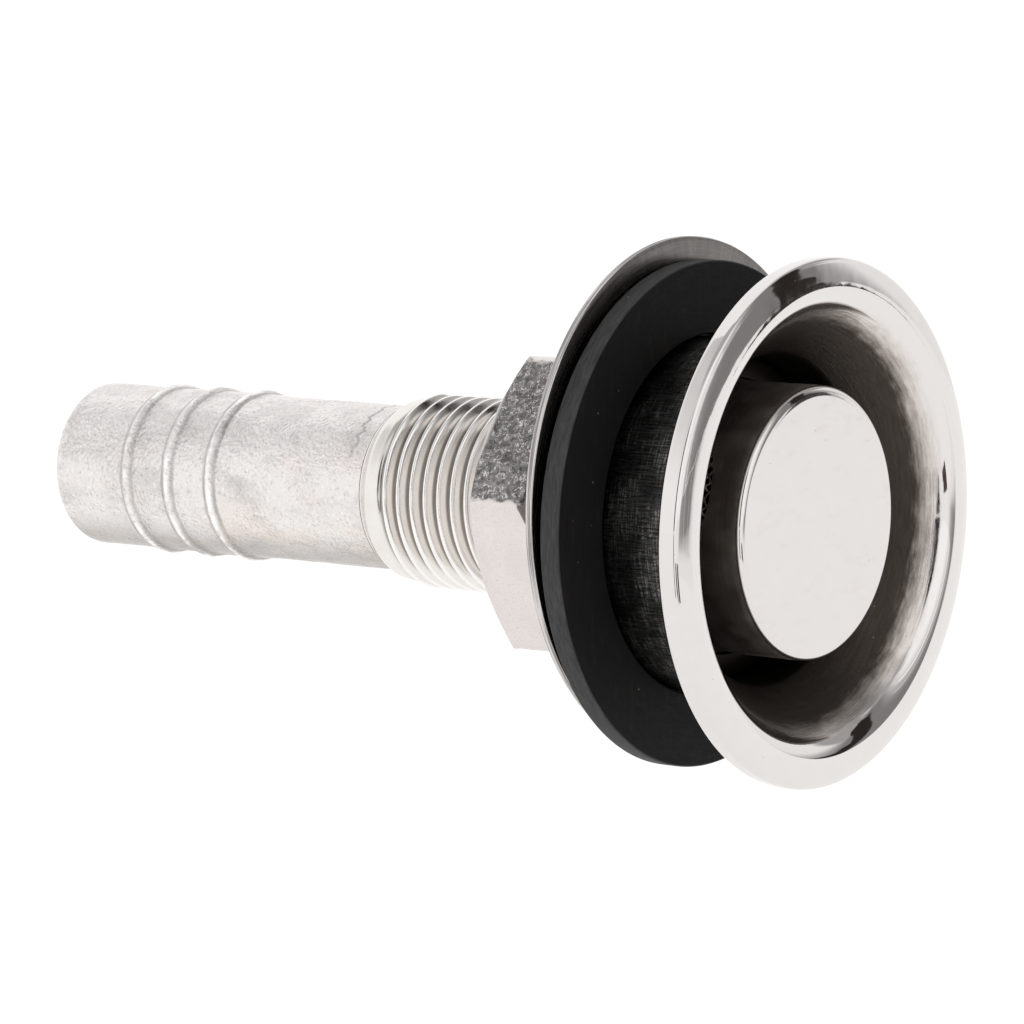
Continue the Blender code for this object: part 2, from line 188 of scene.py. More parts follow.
def arc(centre_x, centre_r, radius, start, end, steps):
    """Points (x, radius) on an arc; 0 degrees points to +X and 90 away from the axis."""
    turn = [math.radians(start + (end - start) * i / steps) for i in range(steps + 1)]
    return [(centre_x + radius * math.cos(a), centre_r + radius * math.sin(a)) for a in turn]


def dense(points, step):
    """The same outline with extra points, none further apart than step."""
    out = []
    for (x0, r0), (x1, r1) in zip(points, points[1:]):
        count = max(1, int(math.ceil(math.hypot(x1 - x0, r1 - r0) / step)))
        out += [(x0 + (x1 - x0) * i / count, r0 + (r1 - r0) * i / count) for i in range(count)]
    return out + [points[-1]]


def smoothstep(low, high, value):
    t = np.clip((value - low) / (high - low), 0.0, 1.0)
    return t * t * (3.0 - 2.0 * t)


def bell(offset, width):
    """1 where offset is 0, falling smoothly to 0 over about two widths either way."""
    return np.exp(-((offset / width) ** 2))


def angles(count):
    return np.arange(count) * TURN / count


def ripple(x, theta, cell, seed):
    """Smooth noise from -1 to 1 around a side of 10 mm radius, in cells about that many mm wide."""
    around = max(8, int(round(TURN * 10.0 / cell)))
    along = int(110.0 / cell) + 4
    table = np.random.default_rng(seed).uniform(-1.0, 1.0, (along, around))
    u = (np.asarray(x) + 100.0) / cell
    v = np.asarray(theta) / TURN * around
    u0 = np.floor(u).astype(int)
    v0 = np.floor(v).astype(int)
    fu = smoothstep(0.0, 1.0, u - u0)
    fv = smoothstep(0.0, 1.0, v - v0)

    def corner(i, j):
        return table[(u0 + i) % along, (v0 + j) % around]

    near = corner(0, 0) * (1 - fu) + corner(1, 0) * fu
    far = corner(0, 1) * (1 - fu) + corner(1, 1) * fu
    return near * (1 - fv) + far * fv


def cast_skin(x, theta, layers):
    return sum(height * ripple(x, theta, cell, seed) for height, cell, seed in layers)


def settle(name, mesh, crisp):
    """Links a mesh as an object, with its faces turned out and only its crisp edges sharp."""
    bm = bmesh.new()
    bm.from_mesh(mesh)
    bmesh.ops.recalc_face_normals(bm, faces=bm.faces)
    bm.to_mesh(mesh)
    bm.free()
    mesh.shade_smooth()
    mesh.set_sharp_from_angle(angle=math.radians(crisp))
    obj = bpy.data.objects.new(name, mesh)
    bpy.context.scene.collection.objects.link(obj)
    return obj


def turned(name, xs, rs, closed=True, crisp=35.0, lift=0.0):
    """A surface around the X axis from rows of (x, radius), one value per angle in each row."""
    rows, around = rs.shape
    xs = np.broadcast_to(xs, rs.shape)
    theta = angles(around)[None, :]
    points = np.stack([xs, rs * np.cos(theta), rs * np.sin(theta) + lift], -1) * MM
    first = np.arange(rows if closed else rows - 1)
    i0 = first[:, None] * around
    i1 = ((first + 1) % rows)[:, None] * around
    j0 = np.arange(around)[None, :]
    j1 = (j0 + 1) % around
    quads = np.stack([i0 + j0, i0 + j1, i1 + j1, i1 + j0], -1).reshape(-1, 4)
    mesh = bpy.data.meshes.new(name)
    mesh.from_pydata(points.reshape(-1, 3).tolist(), [], quads.tolist())
    return settle(name, mesh, crisp)


def plain_rows(profile, around):
    """The rows that turned needs, with one radius all the way round for each (x, radius) point."""
    table = np.array(profile)
    return table[:, :1], np.repeat(table[:, 1:], around, 1)


def lathe(name, profile, around, **options):
    """A turned piece from a loop of (x, radius) points."""
    return turned(name, *plain_rows(profile, around), **options)


def zone(obj, materials, test):
    """Gives each face the material whose index test returns for its middle's x and radius."""
    for material in materials:
        obj.data.materials.append(material)
    for face in obj.data.polygons:
        c = face.center
        face.material_index = test(c.x / MM, math.hypot(c.y, c.z) / MM)


def thread_radius(x, theta):
    """The radius of a right-handed thread, with a narrow flat at its root and at its crest."""
    phase = (x - THREAD_START_X) / PITCH - theta / TURN
    phase = phase - np.floor(phase)
    wave = 1.0 - np.abs(2.0 * phase - 1.0)
    wave = np.clip((wave - 0.06) / 0.86, 0.0, 1.0)
    return ROOT_RADIUS + THREAD_DEPTH * (wave - 0.05 * np.sin(TURN * wave))


def flange_profile():
    """The outline of flange, recess and cup, from the back of the rim round to the neck's foot."""
    lean = math.radians(DOME_ANGLE)
    crest_x = RIM_FRONT_X + RIM_FRONT_ROUND * math.cos(lean) + DOME_RADIUS * (1.0 - math.cos(lean))
    back_r = FLANGE_RADIUS - RIM_BACK_ROUND
    front_r = FLANGE_RADIUS - RIM_FRONT_ROUND
    lip = (crest_x - LIP_ROUND, CREST_RADIUS, LIP_ROUND, 0.0)
    lip_x, lip_r = arc(*lip, -RECESS_ANGLE, 1)[-1]
    cone_x = lip_x - (lip_r - RECESS_RADIUS) * math.tan(math.radians(RECESS_ANGLE))
    points = [(0.0, NECK_ROOT_RADIUS)]
    points += arc(RIM_BACK_ROUND, back_r, RIM_BACK_ROUND, 180.0, 90.0, 14)
    points += arc(RIM_FRONT_X, front_r, RIM_FRONT_ROUND, 90.0, DOME_ANGLE, 12)
    points += arc(crest_x - DOME_RADIUS, CREST_RADIUS, DOME_RADIUS, DOME_ANGLE, 0.0, 16)[1:]
    points += arc(*lip, -LIP_END_ANGLE, 20)[1:]
    points += dense([points[-1], (cone_x, RECESS_RADIUS)], 0.5)[1:]
    return points + [
        (CUP_FLOOR_X, RECESS_RADIUS),
        (CUP_FLOOR_X, STEM_HOLE_RADIUS),
        (CUP_REAR_X, STEM_HOLE_RADIUS),
        (CUP_REAR_X, CUP_RADIUS - CUP_EDGE_ROUND),
        (CUP_REAR_X + 0.3 * CUP_EDGE_ROUND, CUP_RADIUS - 0.3 * CUP_EDGE_ROUND),
        (CUP_REAR_X + CUP_EDGE_ROUND, CUP_RADIUS),
        (-NECK_LENGTH - NECK_FILLET, CUP_RADIUS),
        (-NECK_LENGTH + NECK_FILLET, CUP_RADIUS + 0.2),
    ]


def make_flange():
    flange = lathe("flange", flange_profile(), 288, crisp=40.0)

    def region(x, r):
        """0 for the polished front and rim, 1 for the recess and 2 for the neck and the cup."""
        if x > -0.02 and r > CREST_RADIUS - 0.02:
            return 0
        neck_x = (r - NECK_ROOT_RADIUS) * NECK_LENGTH / (NECK_ROOT_RADIUS - CUP_RADIUS)
        in_front = x > max(neck_x, -NECK_LENGTH) + 0.4
        return 1 if in_front or r < RECESS_RADIUS + 0.1 else 2

    zone(flange, (polished_steel(), recess_steel(), cup_steel()), region)
    return flange


def make_stem():
    """Hose tail, tube, thread and hidden head as one turned casting."""
    around = 240
    theta = angles(around)[None, :]
    tube_x = np.arange(TAIL_END_X + TAIL_END_ROUND, TUBE_END_X, 0.25)
    thread_x = np.arange(TUBE_END_X, THREAD_END_X + 0.2, PITCH / 18.0)
    outer_x = np.concatenate([tube_x, thread_x])[:, None]

    radius = TAIL_RADIUS + (TUBE_RADIUS - TAIL_RADIUS) * smoothstep(*TAIL_TAPER_XS, outer_x)
    for x in BARB_XS:
        radius = radius + BARB_HEIGHT * bell(outer_x - x + BARB_LEAN, BARB_WIDTH)
        groove = bell(outer_x - x - BARB_GROOVE_OFFSET, BARB_GROOVE_WIDTH)
        radius = radius - BARB_GROOVE_DEPTH * groove
    skin = cast_skin(outer_x, theta, CAST_SKIN)
    radius = radius + skin * (1.0 - smoothstep(*CAST_SKIN_END_XS, outer_x))
    radius = radius + (RUN_IN_RADIUS - TUBE_RADIUS) * smoothstep(*RUN_IN_XS, outer_x)

    along = outer_x - THREAD_START_X
    fade = np.clip(np.minimum(along, THREAD_LENGTH - along) / THREAD_FADE, 0.0, 1.0)
    threaded = RUN_IN_RADIUS + (thread_radius(outer_x, theta) - RUN_IN_RADIUS) * fade
    radius = np.where(outer_x > THREAD_START_X, threaded, radius)

    tail_end = [(TAIL_END_X, BORE_RADIUS + TAIL_BORE_BEVEL), (TAIL_END_X, CAST_SKIN_INNER_RADIUS)]
    round_x, round_r = TAIL_END_X + TAIL_END_ROUND, TAIL_RADIUS - TAIL_END_ROUND
    tail_end += arc(round_x, round_r, TAIL_END_ROUND, 180.0, 90.0, 10)[:-1]
    groove_x = HEAD_FRONT_X - SKIRT_GROOVE_DEPTH
    groove_outer_r = CAP_RADIUS + SKIRT_GROOVE_PLAY
    groove_inner_r = SKIRT_INNER_RADIUS - SKIRT_GROOVE_PLAY
    head = [
        (THREAD_END_X + 0.3, SHANK_RADIUS),
        (HEAD_REAR_X, SHANK_RADIUS),
        (HEAD_REAR_X, HEAD_RADIUS),
        (HEAD_FRONT_X - HEAD_BEVEL, HEAD_RADIUS),
        (HEAD_FRONT_X, HEAD_RADIUS - HEAD_BEVEL),
        (HEAD_FRONT_X, groove_outer_r),
        (groove_x, groove_outer_r),
        (groove_x, groove_inner_r),
        (HEAD_FRONT_X, groove_inner_r),
        (HEAD_FRONT_X, BORE_RADIUS + BORE_BEVEL),
        (HEAD_FRONT_X - BORE_BEVEL, BORE_RADIUS),
        (-50.0, BORE_RADIUS),
        (TAIL_END_X + TAIL_BORE_BEVEL, BORE_RADIUS),
    ]
    parts = [plain_rows(tail_end, around), (outer_x, radius), plain_rows(head, around)]
    stem = turned("stem", *(np.concatenate(rows) for rows in zip(*parts)), crisp=50.0)

    def region(x, r):
        """0 for the cast tail and tube, 1 for the thread and shank, 2 for the head and the bore."""
        if x < CAST_SKIN_END_XS[1] + 0.1 and r > CAST_SKIN_INNER_RADIUS:
            return 0
        return 1 if r > 9.0 and x < HEAD_REAR_X - 0.1 else 2

    zone(stem, (cast_steel(), threaded_steel(), recess_steel()), region)
    return stem


def bore_out(obj, middle, direction, radius, length):
    """Cuts a round hole through obj, centred on middle."""
    bm = bmesh.new()
    bmesh.ops.create_cone(
        bm, cap_ends=True, segments=96, radius1=radius, radius2=radius, depth=length
    )
    aim = direction.to_track_quat("Z", "Y").to_matrix().to_4x4()
    bm.transform(Matrix.Translation(middle) @ aim)
    mesh = bpy.data.meshes.new("cutter")
    bm.to_mesh(mesh)
    bm.free()
    cutter = bpy.data.objects.new("cutter", mesh)
    bpy.context.scene.collection.objects.link(cutter)
    modifier = obj.modifiers.new("port", "BOOLEAN")
    modifier.operation = "DIFFERENCE"
    modifier.solver = "EXACT"
    modifier.object = cutter
    graph = bpy.context.evaluated_depsgraph_get()
    result = bpy.data.meshes.new_from_object(obj.evaluated_get(graph))
    obj.modifiers.clear()
    obj.data = result
    bpy.data.objects.remove(cutter, do_unlink=True)
    result.shade_smooth()


def make_cap():
    """Polished disc on a skirt, with three round-topped ports."""
    around = 224
    roll = math.radians(ROLL_ANGLE)
    edge_r = CAP_RADIUS - CAP_EDGE_ROUND
    roll_r = edge_r + (CAP_EDGE_ROUND - ROLL_RADIUS) * math.sin(roll)
    points = arc(CAP_FACE_X - ROLL_RADIUS, roll_r, ROLL_RADIUS, 0.0, ROLL_ANGLE, 8)
    edge_x = points[-1][0] - CAP_EDGE_ROUND * math.cos(roll)
    points += arc(edge_x, edge_r, CAP_EDGE_ROUND, ROLL_ANGLE, 90.0, 10)[1:]
    points += dense([points[-1], (SKIRT_REAR_X, CAP_RADIUS)], 0.8)[1:]
    points += [(SKIRT_REAR_X, SKIRT_INNER_RADIUS), (CAP_INSIDE_X, SKIRT_INNER_RADIUS)]
    cap = lathe("cap", points, around, closed=False)

    # The face and the inside are flat, so one face closes each
    bm = bmesh.new()
    bm.from_mesh(cap.data)
    bm.verts.ensure_lookup_table()
    for row in (0, len(points) - 1):
        bm.faces.new([bm.verts[row * around + i] for i in range(around)])
    bmesh.ops.recalc_face_normals(bm, faces=bm.faces)
    bm.to_mesh(cap.data)
    bm.free()

    for i in range(PORT_COUNT):
        angle = math.radians(FIRST_PORT_ANGLE) + TURN * i / PORT_COUNT
        outward = Vector((0.0, math.cos(angle), math.sin(angle)))
        middle = Vector((PORT_CENTRE_X, 0.0, 0.0)) + outward * CAP_RADIUS
        bore_out(cap, middle * MM, outward, PORT_RADIUS * MM, PORT_CUT_LENGTH * MM)
    cap.data.set_sharp_from_angle(angle=math.radians(35.0))
    cap.data.materials.clear()
    face_x = CAP_FACE_X - CAP_EDGE_ROUND - 0.05
    zone(cap, (disc_steel(), skirt_steel()), lambda x, r: 0 if x > face_x else 1)
    return cap


def make_screen():
    """Two families of crossing helical wires, woven over and under each other."""
    front_x = CAP_INSIDE_X - SCREEN_END_GAP
    rear_x = HEAD_FRONT_X + SCREEN_END_GAP
    length = front_x - rear_x
    turn_per_mm = WIRE_SLOPE / SCREEN_RADIUS
    crossing = (TURN / WIRE_COUNT) / (2.0 * turn_per_mm)
    lean = math.atan(WIRE_SLOPE)
    verts = []
    faces = []
    for hand in (1.0, -1.0):
        for k in range(WIRE_COUNT):
            base = len(verts)
            for i in range(WIRE_STEPS + 1):
                s = length * i / WIRE_STEPS
                angle = TURN * k / WIRE_COUNT + hand * turn_per_mm * s
                weave = WEAVE_HEIGHT * hand * math.cos(math.pi * (s / crossing + k))
                for q in range(WIRE_SIDES):
                    side = WIRE_RADIUS * math.cos(TURN * q / WIRE_SIDES)
                    out = WIRE_RADIUS * math.sin(TURN * q / WIRE_SIDES)
                    a = angle + side * math.cos(lean) / SCREEN_RADIUS
                    x = rear_x + s - side * hand * math.sin(lean)
                    x = min(max(x, rear_x), front_x)
                    r = SCREEN_RADIUS + weave + out
                    verts.append((x * MM, r * math.cos(a) * MM, r * math.sin(a) * MM))
            for i in range(WIRE_STEPS):
                p = base + i * WIRE_SIDES
                for q in range(WIRE_SIDES):
                    n = (q + 1) % WIRE_SIDES
                    faces.append((p + q, p + n, p + WIRE_SIDES + n, p + WIRE_SIDES + q))
            last = base + WIRE_STEPS * WIRE_SIDES
            faces.append(tuple(base + q for q in reversed(range(WIRE_SIDES))))
            faces.append(tuple(last + q for q in range(WIRE_SIDES)))
    mesh = bpy.data.meshes.new("screen")
    mesh.from_pydata(verts, [], faces)
    screen = settle("screen", mesh, 60.0)
    screen.data.materials.append(wire_steel())
    return screen


def make_gasket():
    front, rear, edge = GASKET_FRONT_X, GASKET_REAR_X, GASKET_EDGE_ROUND
    outer_r = GASKET_RADIUS - edge
    hole_r = GASKET_HOLE_RADIUS + edge
    flat = np.linspace(19.6, 25.2, 12)  # rings across each face
    points = [(front, hole_r)]
    points += [(front, r) for r in flat]
    points += arc(front - edge, outer_r, edge, 0.0, 90.0, 5)
    points += arc(rear + edge, outer_r, edge, 90.0, 180.0, 5)
    points += [(rear, r) for r in flat[::-1]]
    points += arc(rear + edge, hole_r, edge, 180.0, 270.0, 4)
    points += arc(front - edge, hole_r, edge, 270.0, 350.0, 4)
    gasket = lathe("gasket", points, 256, crisp=60.0)
    gasket.data.materials.append(black_rubber())
    return gasket


def make_washer():
    """Thin ring whose rim has the faint groove of a stamped edge."""
    front, rear, edge = WASHER_FRONT_X, WASHER_REAR_X, WASHER_EDGE_ROUND
    outer_r = WASHER_RADIUS - edge
    hole_r = WASHER_HOLE_RADIUS + edge
    middle = (front + rear) / 2.0
    points = [(front, hole_r), (front, 20.0), (front, outer_r - 0.4)]
    points += arc(front - edge, outer_r, edge, 0.0, 90.0, 4)
    points += [(middle + 0.12, WASHER_RADIUS), (middle, WASHER_RADIUS - 0.05)]
    points += [(middle - 0.12, WASHER_RADIUS)]
    points += arc(rear + edge, outer_r, edge, 90.0, 180.0, 4)
    points += [(rear, 20.0), (rear, hole_r)]
    points += [(rear + edge, WASHER_HOLE_RADIUS), (front - edge, WASHER_HOLE_RADIUS)]
    washer = lathe("washer", points, 256, crisp=25.0, lift=WASHER_LIFT)
    washer.data.materials.append(satin_steel())
    return washer


def flat_angle(k):
    """The direction in radians that flat k of the nut faces."""
    return math.radians(NUT_CORNER_ANGLE + 30.0 + 60.0 * k)


def as_cast_flats(theta):
    """1 on the flats of the nut that were left as cast, and 0 on the others."""
    flat = np.floor((np.degrees(theta) - NUT_CORNER_ANGLE) / 60.0).astype(int) % 6
    return np.where(np.isin(flat, ROUGH_FLATS), 1.0, 0.0)


def make_nut():
    """Cast hexagon nut: chamfered corners, rough flats and a threaded bore."""
    around = 432
    theta = angles(around)[None, :]
    outer_x = np.linspace(NUT_FRONT_X, NUT_REAR_X, 96)[:, None]

    # How far the metal reaches by each flat, which limits only its own side, and each chamfer
    flats = []
    for k in range(6):
        off = theta - flat_angle(k)
        off = np.arctan2(np.sin(off), np.cos(off))
        away = np.abs(off) > 1.2
        distance = NUT_ACROSS_FLATS / 2.0 / np.cos(np.where(away, 0.0, off))
        flats.append(np.where(away, 1e3, distance))
    slope = math.tan(math.radians(NUT_CHAMFER_ANGLE))
    chamfers = [
        NUT_FACE_RADIUS + (NUT_FRONT_X - outer_x) / slope,
        NUT_FACE_RADIUS + (outer_x - NUT_REAR_X) / slope,
    ]
    limits = np.stack([np.broadcast_to(v, (len(outer_x), around)) for v in flats + chamfers])

    # The lowest limit holds, rounded where two meet: widely between flats, barely at a chamfer
    chamfer_gap = limits[6:].min(0) - limits[:6].min(0)
    away = smoothstep(NUT_CORNER_ROUND, 4.0 * NUT_CORNER_ROUND, chamfer_gap)
    blend = NUT_CHAMFER_ROUND + (NUT_CORNER_ROUND - NUT_CHAMFER_ROUND) * away
    low = limits.min(0)
    outer = low - blend * np.log(np.exp(-(limits - low) / blend).sum(0))

    half = np.abs(outer_x - NUT_MIDDLE_X)
    flat = smoothstep(0.06, 0.3, NUT_SKIN_RADIUS - outer) * (1.0 - smoothstep(*NUT_SKIN_ENDS, half))
    skin = cast_skin(outer_x, theta, NUT_SKIN) - NUT_SKIN_SINK
    outer = outer + skin * flat * as_cast_flats(theta)

    tap_x = np.linspace(NUT_REAR_X, NUT_FRONT_X, 110)[:, None]
    bore = thread_radius(tap_x, theta) + NUT_THREAD_PLAY
    sink = np.maximum(tap_x - NUT_FRONT_X, NUT_REAR_X - tap_x) + NUT_MOUTH_DEPTH
    mouth = THREAD_RADIUS + NUT_THREAD_PLAY - NUT_MOUTH_STEP + sink * NUT_MOUTH_SLOPE
    bore = np.where(sink > 0.0, np.maximum(bore, mouth), bore)
    rim = np.full((1, around), NUT_MOUTH_RADIUS)
    xs = np.concatenate([outer_x, [[NUT_REAR_X]], tap_x, [[NUT_FRONT_X]]])
    rs = np.concatenate([outer, rim, bore, rim])
    nut = turned("nut", xs, rs, crisp=70.0)
    nut.data.materials.append(nut_steel())
    return nut


# ---------------------------------------------------------------- materials


class Graph:
    """Builds a Principled material's nodes, from positions in millimetres in the object's frame."""

    def __init__(self, name, metallic=1.0):
        self.material = bpy.data.materials.new(name)
        self.material.use_nodes = True
        self.tree = self.material.node_tree
        self.shader = self.tree.nodes["Principled BSDF"]
        self.shader.inputs["Metallic"].default_value = metallic
        self.normal = None
        spot = self.node("ShaderNodeTexCoord").outputs["Object"]
        scale = self.node("ShaderNodeVectorMath", operation="SCALE")
        self.link(spot, scale.inputs[0])
        self.link(1.0 / MM, scale.inputs["Scale"])
        self.place = scale.outputs["Vector"]
        split = self.node("ShaderNodeSeparateXYZ")
        self.link(self.place, split.inputs[0])
        self.x, self.y, self.z = split.outputs
        self.r = self.length(self.y, self.z)

    def node(self, kind, **settings):
        node = self.tree.nodes.new(kind)
        for key, value in settings.items():
            setattr(node, key, value)
        return node

    def link(self, source, target):
        """Feeds target from another node's output, or gives it a fixed value."""
        if isinstance(source, (int, float, tuple)):
            target.default_value = source
        else:
            self.tree.links.new(source, target)

    def math(self, operation, *values):
        node = self.node("ShaderNodeMath", operation=operation)
        for value, socket in zip(values, node.inputs):
            self.link(value, socket)
        return node.outputs[0]

    def add(self, a, b):
        return self.math("ADD", a, b)

    def sub(self, a, b):
        return self.math("SUBTRACT", a, b)

    def mul(self, a, b):
        return self.math("MULTIPLY", a, b)

    def apart(self, a, b):
        """How far apart two values are."""
        return self.math("ABSOLUTE", self.sub(a, b))

    def length(self, a, b):
        return self.math("SQRT", self.add(self.mul(a, a), self.mul(b, b)))

    def degrees(self, a, b):
        """The angle in degrees of a point that lies a up and b along."""
        return self.mul(self.math("ARCTAN2", a, b), 180.0 / math.pi)

    def dot(self, direction):
        node = self.node("ShaderNodeVectorMath", operation="DOT_PRODUCT")
        self.link(self.place, node.inputs[0])
        self.link(direction, node.inputs[1])
        return node.outputs["Value"]

    def join(self, x, y, z):
        node = self.node("ShaderNodeCombineXYZ")
        for value, socket in zip((x, y, z), node.inputs):
            self.link(value, socket)
        return node.outputs[0]

    def stretch(self, x, y=None, z=None):
        """The position scaled along each axis, or by the same number along all three."""
        node = self.node("ShaderNodeVectorMath", operation="MULTIPLY")
        self.link(self.place, node.inputs[0])
        self.link((x, x if y is None else y, x if z is None else z), node.inputs[1])
        return node.outputs["Vector"]

    def rings(self, fine, slow):
        """Coordinates that change fast along x and the radius and slowly around the axis."""
        along = self.mul(self.add(self.x, self.r), fine)
        return self.join(along, self.mul(self.y, slow), self.mul(self.z, slow))

    def spokes(self, fine, slow):
        """Coordinates that change fast around the axis and slowly along the radius and x."""
        return self.join(
            self.mul(self.math("DIVIDE", self.y, self.r), fine),
            self.mul(self.math("DIVIDE", self.z, self.r), fine),
            self.mul(self.add(self.r, self.x), slow),
        )

    def noise(self, where, detail, roughness=0.55):
        node = self.node("ShaderNodeTexNoise")
        self.link(where, node.inputs["Vector"])
        node.inputs["Scale"].default_value = 1.0
        node.inputs["Detail"].default_value = detail
        node.inputs["Roughness"].default_value = roughness
        return node.outputs[0]

    def cells(self, scale):
        """The distance to the nearest of some scattered points."""
        node = self.node("ShaderNodeTexVoronoi", feature="F1")
        self.link(self.place, node.inputs["Vector"])
        node.inputs["Scale"].default_value = scale
        return node.outputs["Distance"]

    def specks(self, scale, size):
        """Scattered dots, 1 in their middle and 0 between them."""
        return self.band(self.cells(scale), 0.0, size, 1.0, 0.0)

    def band(self, value, low, high, to_low=0.0, to_high=1.0):
        """Goes smoothly from to_low to to_high while value goes from low to high."""
        node = self.node("ShaderNodeMapRange", interpolation_type="SMOOTHSTEP")
        self.link(value, node.inputs["Value"])
        limits = {"From Min": low, "From Max": high, "To Min": to_low, "To Max": to_high}
        for key, number in limits.items():
            node.inputs[key].default_value = number
        return node.outputs["Result"]

    def mix(self, factor, a, b):
        """The colour a where factor is 0, and b where it is 1."""
        node = self.node("ShaderNodeMix", data_type="RGBA")
        self.link(factor, node.inputs["Factor"])
        for value, index in ((a, 6), (b, 7)):
            self.link((*value, 1.0) if isinstance(value, tuple) else value, node.inputs[index])
        return node.outputs[2]

    def cover(self, under, mask, value):
        """The number under where mask is 0, and value where it is 1."""
        node = self.node("ShaderNodeMix", data_type="FLOAT")
        for source, socket in zip((mask, under, value), (node.inputs[0], *node.inputs[2:4])):
            self.link(source, socket)
        return node.outputs[0]

    def bump(self, height, distance):
        """Adds relief, with distance in millimetres."""
        node = self.node("ShaderNodeBump")
        node.inputs["Strength"].default_value = 1.0
        node.inputs["Distance"].default_value = distance * MM
        self.link(height, node.inputs["Height"])
        if self.normal is not None:
            self.link(self.normal, node.inputs["Normal"])
        self.normal = node.outputs[0]

    def done(self, colour, roughness):
        self.link(colour, self.shader.inputs["Base Color"])
        self.link(roughness, self.shader.inputs["Roughness"])
        if self.normal is not None:
            self.link(self.normal, self.shader.inputs["Normal"])
        return self.material

    def done_glowing(self, colour, strength):
        """Finishes a black material that gives off light without being sampled as a lamp."""
        self.shader.inputs["Base Color"].default_value = (0.0, 0.0, 0.0, 1.0)
        self.shader.inputs["Specular IOR Level"].default_value = 0.0
        self.shader.inputs["Emission Color"].default_value = (*colour, 1.0)
        self.link(strength, self.shader.inputs["Emission Strength"])
        self.material.cycles.emission_sampling = "NONE"
        return self.material


made = {}


def once(maker):
    """Makes a material the first time it's asked for, and returns the same one after that."""

    def ask():
        if maker.__name__ not in made:
            made[maker.__name__] = maker()
        return made[maker.__name__]

    return ask


@once
def polished_steel():
    """Mirror polish with a little haze, fine turning lines and a few specks."""
    g = Graph("polished_steel")
    haze = g.noise(g.stretch(0.5), 4.0)
    lines = g.noise(g.rings(9.0, 0.25), 2.0)
    specks = g.specks(0.55, 0.055)
    g.bump(g.noise(g.stretch(0.22), 2.0), 0.030)
    g.bump(lines, 0.00035)
    g.bump(specks, 0.004)
    tint = g.mix(haze, (0.735, 0.715, 0.705), (0.775, 0.755, 0.745))
    tint = g.mix(specks, tint, (0.45, 0.42, 0.40))
    return g.done(tint, g.band(haze, 0.3, 0.75, 0.035, 0.085))


@once
def disc_steel():
    """The cap's face: polished, with faint smears and specks."""
    g = Graph("disc_steel")
    haze = g.noise(g.stretch(0.3), 4.0)
    smears = g.band(g.noise(g.stretch(0.3, 0.35, 0.9), 5.0), 0.5, 0.75)
    specks = g.specks(0.42, 0.05)
    g.bump(g.noise(g.stretch(0.1), 1.0), 0.004)
    g.bump(specks, 0.004)
    tint = g.mix(haze, (0.735, 0.712, 0.705), (0.765, 0.742, 0.735))
    tint = g.mix(g.mul(smears, 0.12), tint, (0.6, 0.55, 0.5))
    tint = g.mix(specks, tint, (0.4, 0.37, 0.34))
    rough = g.add(g.band(haze, 0.3, 0.75, 0.05, 0.09), g.mul(smears, 0.05))
    return g.done(tint, rough)


@once
def recess_steel():
    """The recess: mirror-bright at the crest, then scratched, then dark and unpolished, with
    painted shade further in.
    """
    g = Graph("recess_steel")
    ragged = g.noise(g.stretch(0.35), 3.0)
    lines = g.noise(g.rings(6.0, 0.05), 4.0)
    around = g.join(g.mul(g.r, 4.0), g.mul(g.y, 0.35), g.mul(g.z, 0.35))
    streaks = g.noise(around, 5.0, 0.65)
    uneven = g.add(g.mul(ragged, 0.9), g.mul(streaks, 1.1))
    edge = g.add(g.r, g.sub(uneven, 1.0))
    deep = g.band(edge, *RECESS_DARK_RADII, 1.0, 0.0)
    worn = g.band(edge, *RECESS_WORN_RADII, 1.0, 0.0)
    # Painted shade, near black, deep inside the recess and on the stem's head and bore
    far = g.band(g.x, -6.0, -3.5, 1.0, 0.0)
    cast = g.noise(g.stretch(2.6), 4.0)
    dust = g.specks(0.5, 0.055)
    g.bump(g.mul(lines, worn), 0.022)
    g.bump(g.mul(cast, deep), 0.030)
    tint = g.mix(worn, (0.76, 0.74, 0.73), g.mix(streaks, (0.42, 0.37, 0.33), (0.66, 0.62, 0.59)))
    dark = g.mix(streaks, (0.034, 0.028, 0.024), (0.090, 0.077, 0.067))
    tint = g.mix(deep, tint, dark)
    # Painted shade deep inside
    tint = g.mix(g.mul(far, 0.8), tint, (0.022, 0.019, 0.017))
    tint = g.mix(g.mul(dust, 0.5), tint, (0.6, 0.58, 0.55))
    rough = g.add(g.band(worn, 0.0, 1.0, 0.05, 0.24), g.mul(deep, 0.22))
    return g.done(tint, rough)


@once
def skirt_steel():
    """The cap's skirt: turned, dull and dark, and brighter beside the polished face."""
    g = Graph("skirt_steel")
    lines = g.noise(g.rings(3.5, 0.08), 3.0)
    blotch = g.noise(g.stretch(0.4), 4.0)
    g.bump(lines, 0.012)
    dark = g.mix(lines, (0.34, 0.305, 0.275), (0.52, 0.475, 0.44))
    bright = g.band(g.add(g.x, g.mul(blotch, 1.2)), 0.2, 1.2)
    tint = g.mix(bright, dark, (0.62, 0.59, 0.57))
    return g.done(tint, g.band(blotch, 0.3, 0.7, 0.36, 0.50))


